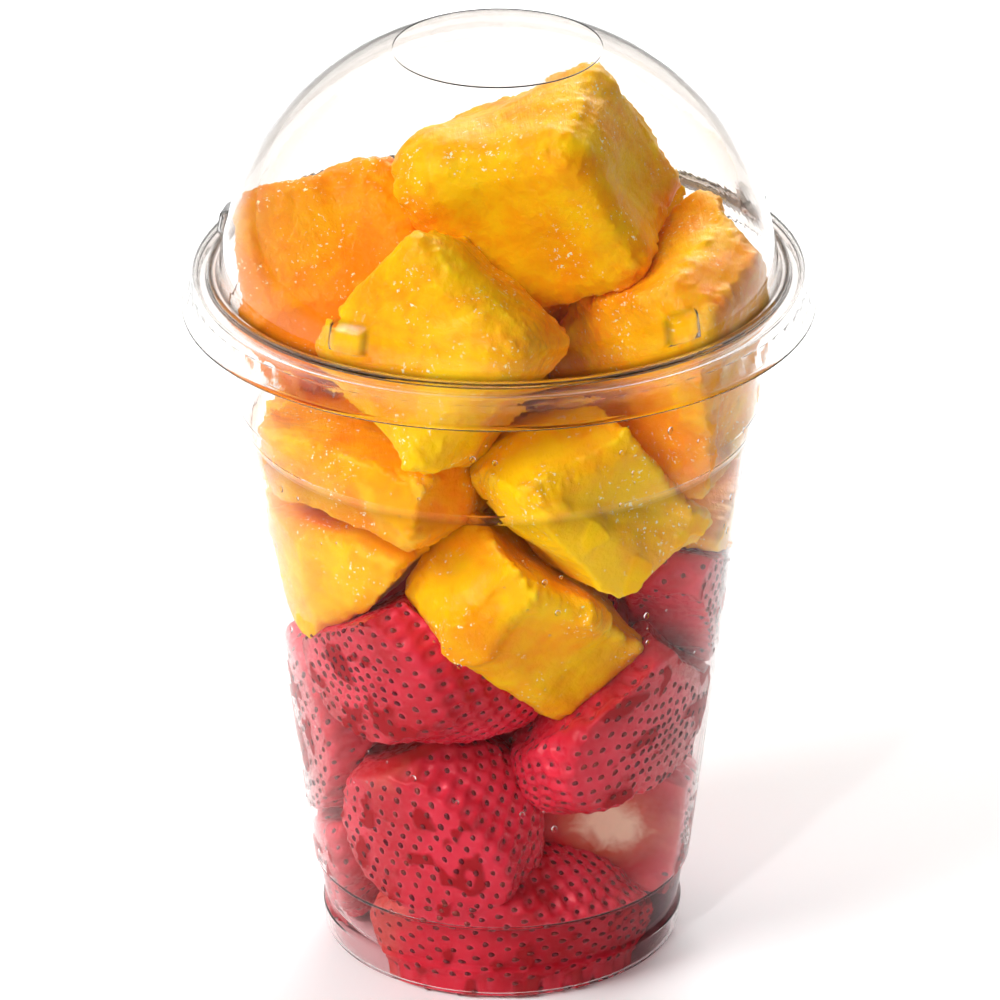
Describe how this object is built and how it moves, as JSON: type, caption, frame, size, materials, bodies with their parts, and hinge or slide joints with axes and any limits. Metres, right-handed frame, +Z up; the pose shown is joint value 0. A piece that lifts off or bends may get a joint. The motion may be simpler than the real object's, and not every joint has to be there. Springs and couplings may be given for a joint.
{
  "type": "fruit cup",
  "caption": "Clear lidded plastic cup of cut fruit: mango chunks heaped over halved strawberries, under a closed dome lid.",
  "frame": {"origin": "centre of the ring that the cup stands on, at its lowest plane", "axes": "+Z up along the cup's axis; -Y is the shown front; +X is to the right as seen from the front"},
  "size_m": [0.1026, 0.1026, 0.157],
  "materials": {
    "cup": "clear PET, gloss",
    "lid": "clear PET, gloss",
    "mango": "wet cut mango flesh",
    "strawberry": "moist strawberry skin and cut flesh"
  },
  "bodies": {
    "root": {"cup": "cup", "lid": "lid", "mango_back": "mango", "mango_back_left": "mango", "mango_back_right": "mango", "mango_core": "mango", "mango_front": "mango", "mango_front_left": "mango", "mango_front_right": "mango", "mango_left": "mango", "mango_left_back": "mango", "mango_low_left": "mango", "mango_low_right": "mango", "mango_middle": "mango", "mango_right": "mango", "mango_side_back": "mango", "mango_side_left": "mango", "mango_top": "mango", "strawberry_back": "strawberry", "strawberry_back_left": "strawberry", "strawberry_back_right": "strawberry", "strawberry_base": "strawberry", "strawberry_base_back": "strawberry", "strawberry_core": "strawberry", "strawberry_front": "strawberry", "strawberry_high_right": "strawberry", "strawberry_left": "strawberry", "strawberry_left_back": "strawberry", "strawberry_low_left": "strawberry", "strawberry_low_right": "strawberry", "strawberry_middle": "strawberry", "strawberry_right": "strawberry", "strawberry_right_back": "strawberry", "strawberry_side_left": "strawberry"}
  },
  "joints": []
}
